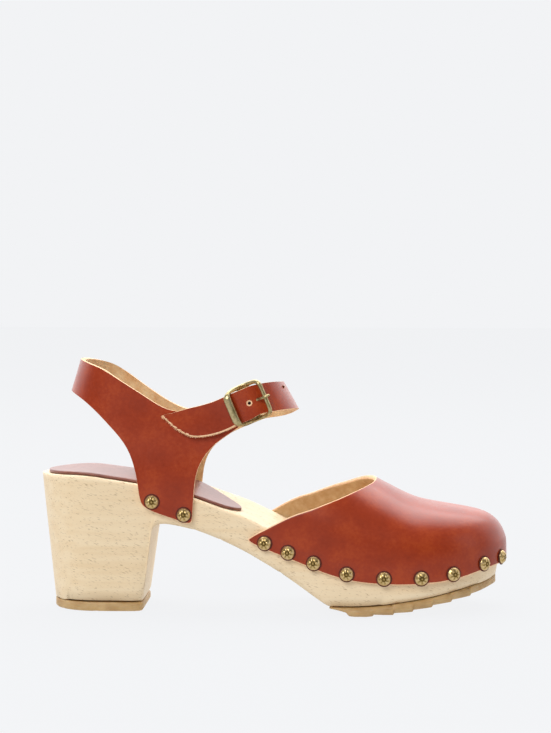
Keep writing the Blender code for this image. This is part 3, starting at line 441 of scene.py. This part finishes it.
# beech, milled and sanded, thin clear lacquer: cream with short brown flecks along the grain
sandedBeech, tree, at = newMaterial("sandedBeech")
along = addNode(tree, "ShaderNodeMapping", {"Scale": tuple(1 / (size * mm) for size in beech["growth"])},
                {"Vector": at})
growth = addNode(tree, "ShaderNodeTexNoise", {"Scale": 1.0, "Detail": 3.0, "Roughness": 0.5},
                 {"Vector": along.outputs[0]})
tone = addNode(tree, "ShaderNodeValToRGB", {}, {0: growth.outputs["Fac"]})
setRamp(tone, [(0.3, beech["warm"]), (0.62, beech["pale"])])
slant = addNode(tree, "ShaderNodeMapping", {"Rotation": (0, beech["slant"], 0)}, {"Vector": at})
short = addNode(tree, "ShaderNodeMapping", {"Scale": tuple(1 / (size * mm) for size in beech["fleckSize"])},
                {"Vector": slant.outputs[0]})
dashes = addNode(tree, "ShaderNodeTexNoise", {"Scale": 1.0, "Detail": 1.0, "Roughness": 0.4},
                 {"Vector": short.outputs[0]})
fleck = addNode(tree, "ShaderNodeMapRange", {"From Min": 0.63, "From Max": 0.73, "To Max": 0.6},
                {"Value": dashes.outputs["Fac"]})
wood = addNode(tree, "ShaderNodeMix", {"data_type": "RGBA", 7: linear(beech["fleck"])},
               {0: fleck.outputs[0], 6: tone.outputs[0]})
bump = addNode(tree, "ShaderNodeBump", {"Strength": 0.25, "Distance": 0.1 * mm, "invert": True},
               {"Height": fleck.outputs[0]})
skin = addNode(tree, "ShaderNodeBsdfPrincipled",
               {"IOR": 1.5, "Roughness": 0.5, "Coat Weight": 0.12, "Coat Roughness": 0.35},
               {"Base Color": wood.outputs[2], "Normal": bump.outputs[0]})
addNode(tree, "ShaderNodeOutputMaterial", {}, {"Surface": skin.outputs[0]})

rubber = {"dark": "#AE8A58", "pale": "#C6A674", "cloud": 7, "speck": 0.7, "glow": (0.004, 0.0025, 0.001)}
# rubber, moulded in sheets: dull translucent tan, lighter and yellower where light comes through
mouldedRubber, tree, at = newMaterial("mouldedTanRubber")
cloud = addNode(tree, "ShaderNodeTexNoise", {"Scale": 1 / (rubber["cloud"] * mm), "Detail": 3.0},
                {"Vector": at})
tone = addNode(tree, "ShaderNodeValToRGB", {}, {0: cloud.outputs["Fac"]})
setRamp(tone, [(0.3, rubber["dark"]), (0.7, rubber["pale"])])
speck = addNode(tree, "ShaderNodeTexNoise", {"Scale": 1 / (rubber["speck"] * mm), "Detail": 2.0},
                {"Vector": at})
bump = addNode(tree, "ShaderNodeBump", {"Strength": 0.3, "Distance": 0.1 * mm},
               {"Height": speck.outputs["Fac"]})
skin = addNode(tree, "ShaderNodeBsdfPrincipled",
               {"IOR": 1.52, "Roughness": 0.55, "Subsurface Weight": 0.25, "Subsurface Scale": 1.0,
                "Subsurface Radius": rubber["glow"]},
               {"Base Color": tone.outputs[0], "Normal": bump.outputs[0]})
addNode(tree, "ShaderNodeOutputMaterial", {}, {"Surface": skin.outputs[0]})

lining = {"dark": "#7A4438", "pale": "#8C5648", "cloud": 3}
# lining leather, glazed: red-brown, glossy enough to pale under the light behind it
glazedLining, tree, at = newMaterial("glazedLiningLeather")
cloud = addNode(tree, "ShaderNodeTexNoise", {"Scale": 1 / (lining["cloud"] * mm), "Detail": 3.0},
                {"Vector": at})
tone = addNode(tree, "ShaderNodeValToRGB", {}, {0: cloud.outputs["Fac"]})
setRamp(tone, [(0.3, lining["dark"]), (0.7, lining["pale"])])
bump = addNode(tree, "ShaderNodeBump", {"Strength": 0.15, "Distance": 0.1 * mm},
               {"Height": cloud.outputs["Fac"]})
skin = addNode(tree, "ShaderNodeBsdfPrincipled",
               {"IOR": 1.5, "Roughness": 0.42, "Coat Weight": 0.35, "Coat Roughness": 0.3},
               {"Base Color": tone.outputs[0], "Normal": bump.outputs[0]})
addNode(tree, "ShaderNodeOutputMaterial", {}, {"Surface": skin.outputs[0]})

solePieces = {
    "wooden_sole": {"name": "beechSole", "slot": "beech", "finish": sandedBeech, "turn": 30,
                    "refine": 2},
    "outsole": {"name": "ribbedOutsole", "slot": "tread_rubber", "finish": mouldedRubber, "turn": 35,
                "refine": 1},
    "heel_lift": {"name": "heelLift", "slot": "lift_rubber", "finish": mouldedRubber, "turn": 35,
                  "refine": 2},
    "insole_sock": {"name": "insoleSock", "slot": "sock_leather", "finish": glazedLining, "turn": 40,
                    "refine": 2},
}
soleCrease = 0.96
for nodeName, s in solePieces.items():
    shape = copyNode(nodeName)
    creaseEdges(shape, math.radians(s["turn"]), soleCrease)
    piece = finishPiece(shape, s["name"], [nodeName], [s["finish"]])
    refine(piece, s["refine"])
print("sole")

brass = {"bright": "#C3B389", "dull": "#93855A", "cloud": 2.2, "rough": 0.33}
# brass, cast and antiqued: grey-yellow metal with duller clouds
antiquedBrass, tree, at = newMaterial("castAntiquedBrass")
cloud = addNode(tree, "ShaderNodeTexNoise",
                {"Scale": 1 / (brass["cloud"] * mm), "Detail": 4.0, "Roughness": 0.6},
                {"Vector": at})
tone = addNode(tree, "ShaderNodeValToRGB", {}, {0: cloud.outputs["Fac"]})
setRamp(tone, [(0.3, brass["dull"]), (0.65, brass["bright"])])
bump = addNode(tree, "ShaderNodeBump", {"Strength": 0.15, "Distance": 0.1 * mm},
               {"Height": cloud.outputs["Fac"]})
skin = addNode(tree, "ShaderNodeBsdfPrincipled", {"Metallic": 1.0, "Roughness": brass["rough"]},
               {"Base Color": tone.outputs[0], "Normal": bump.outputs[0]})
addNode(tree, "ShaderNodeOutputMaterial", {}, {"Surface": skin.outputs[0]})

frameFit = {"squeeze": 0.94, "rearBar": -9.0 * mm, "rearReach": 1.6 * mm, "rearBroad": 1.45, "refine": 2}
shape = copyNode("buckle_frame")
for v in shape.verts:  # side bars close to the strap, and a broader rear bar
    offset = v.co - buckle["centre"]
    v.co += across * offset.dot(across) * (frameFit["squeeze"] - 1)
    behind = offset.dot(ahead) - frameFit["rearBar"]
    if behind < frameFit["rearReach"]:
        v.co += ahead * behind * (frameFit["rearBroad"] - 1)
piece = finishPiece(shape, "buckleFrame", ["buckle_frame"], [antiquedBrass])
refine(piece, frameFit["refine"])

# each row: up to this place ahead, the move ahead and the drop, all in millimetres
prongBend = [(2.0, 0.0, 2.6), (4.0, 0.0, 3.4), (7.0, -0.3, 3.4), (9.8, -0.6, 0.2), (20.0, 1.0, 0.7)]
prong = {"loopTop": 3.5, "riseTop": 5.5, "riseDrop": 0.3, "refine": 2}
shape = copyNode("buckle_prong")
for v in shape.verts:  # it runs on under the strap and comes up just behind the front bar
    offset = v.co - buckle["centre"]
    along, out = offset.dot(ahead) / mm, offset.dot(outward) / mm
    if out > prong["loopTop"] and along > -2:
        move, drop = next(row[1:] for row in prongBend if along < row[0])
        v.co += (ahead * move - outward * (drop if out > prong["riseTop"] else prong["riseDrop"])) * mm
piece = finishPiece(shape, "buckleProng", ["buckle_prong"], [antiquedBrass])
refine(piece, prong["refine"])

nailMetal = {"bright": "#DCC394", "middle": "#B89B62", "dark": "#5F4A22", "cloud": 0.9, "rough": 0.32}
# nail heads, stamped from brass sheet: warm, with near-black painted shade in the dip round the boss and
# between the petals
nailBrass, tree, at = newMaterial("stampedStainedBrass")
hollowShade = addNode(tree, "ShaderNodeAttribute", {"attribute_name": "hollowShade"}, {})
cloud = addNode(tree, "ShaderNodeTexNoise", {"Scale": 1 / (nailMetal["cloud"] * mm), "Detail": 3.0},
                {"Vector": at})
hollowShadeTone = addNode(tree, "ShaderNodeMath", {"operation": "MULTIPLY_ADD", 1: 0.5},
                {0: cloud.outputs["Fac"], 2: hollowShade.outputs["Fac"]})
tone = addNode(tree, "ShaderNodeValToRGB", {}, {0: hollowShadeTone.outputs[0]})
setRamp(tone, [(0.15, nailMetal["bright"]), (0.38, nailMetal["middle"]), (0.85, nailMetal["dark"])])
skin = addNode(tree, "ShaderNodeBsdfPrincipled", {"Metallic": 1.0, "Roughness": nailMetal["rough"]},
               {"Base Color": tone.outputs[0]})
addNode(tree, "ShaderNodeOutputMaterial", {}, {"Surface": skin.outputs[0]})

rimShadowTones = {"dark": "#4A1606", "pale": "#64200A", "cloud": 0.8}
# painted shadow: a dark matt ring round each nail, where the gap under its rim falls in shade
nailRimShadow, tree, at = newMaterial("paintedNailRimShadow")
cloud = addNode(tree, "ShaderNodeTexNoise", {"Scale": 1 / (rimShadowTones["cloud"] * mm)}, {"Vector": at})
tone = addNode(tree, "ShaderNodeValToRGB", {}, {0: cloud.outputs["Fac"]})
setRamp(tone, [(0.3, rimShadowTones["dark"]), (0.7, rimShadowTones["pale"])])
skin = addNode(tree, "ShaderNodeBsdfPrincipled", {"Roughness": 0.75}, {"Base Color": tone.outputs[0]})
addNode(tree, "ShaderNodeOutputMaterial", {}, {"Surface": skin.outputs[0]})

nail = {"radius": 3.5 * mm, "rise": 2.0 * mm, "skirt": 0.5 * mm, "sink": 0.25 * mm, "steps": 42, "petals": 7,
        "petalAt": 0.58, "petalWide": 0.2, "petalHigh": 0.16, "dipAt": 0.24, "dipWide": 0.13, "dipDeep": 0.3}
r, h = nail["radius"], nail["rise"]
headProfile = [(0.0, h), (0.12 * r, h), (0.26 * r, h * 0.985), (0.42 * r, h * 0.93), (0.58 * r, h * 0.82),
               (0.74 * r, h * 0.64), (0.87 * r, h * 0.42), (0.96 * r, nail["skirt"]),
               (r, nail["skirt"] * 0.45), (0.985 * r, 0.0), (0.93 * r, -nail["sink"]), (0.0, -nail["sink"])]
ringProfile = [(1.02 * r, -0.45 * mm), (1.17 * r, -0.35 * mm), (1.15 * r, -0.12 * mm), (r, -0.05 * mm),
               (0.9 * r, -0.1 * mm), (0.9 * r, -0.4 * mm)]
for nodeName in nailNodes:
    seat, out = seats[nodeName]
    shape = bmesh.new()
    for index, profile in enumerate((headProfile, ringProfile)):
        line = [shape.verts.new((x, 0, z)) for x, z in profile]
        edges = [shape.edges.new(pair) for pair in zip(line, line[1:])]
        if index:  # the ring's outline is closed
            edges.append(shape.edges.new((line[-1], line[0])))
        before = len(shape.faces)
        bmesh.ops.spin(shape, geom=line + edges, cent=(0, 0, 0), axis=(0, 0, 1), angle=math.tau,
                       steps=nail["steps"], use_merge=True, use_duplicate=False)
        shape.faces.ensure_lookup_table()
        for face in shape.faces[before:]:
            face.material_index = index
    bmesh.ops.remove_doubles(shape, verts=shape.verts, dist=1e-7)
    shade = shape.verts.layers.float.new("hollowShade")
    for v in shape.verts:  # a plain rosette of petals round a small boss
        reach = v.co.xy.length / r
        if v.co.z > 0 and reach < 0.95:
            wave = math.cos(math.atan2(v.co.y, v.co.x) * nail["petals"])
            petal = wave * math.exp(-((reach - nail["petalAt"]) / nail["petalWide"]) ** 2)
            dip = math.exp(-((reach - nail["dipAt"]) / nail["dipWide"]) ** 2)
            v.co.z += (nail["petalHigh"] * petal - nail["dipDeep"] * dip) * mm
            # painted shade: this layer darkens the dip round the boss and the grooves between the petals
            v[shade] = max(0.0, 0.8 * dip - 0.45 * petal)
    bmesh.ops.recalc_face_normals(shape, faces=shape.faces)
    bmesh.ops.rotate(shape, verts=shape.verts, matrix=Vector((0, 0, 1)).rotation_difference(out).to_matrix())
    bmesh.ops.translate(shape, verts=shape.verts, vec=seat)
    finishPiece(shape, "domed_" + nodeName, [nodeName], [nailBrass, nailRimShadow])
print("brass: buckle and", len(nailNodes), "nails")
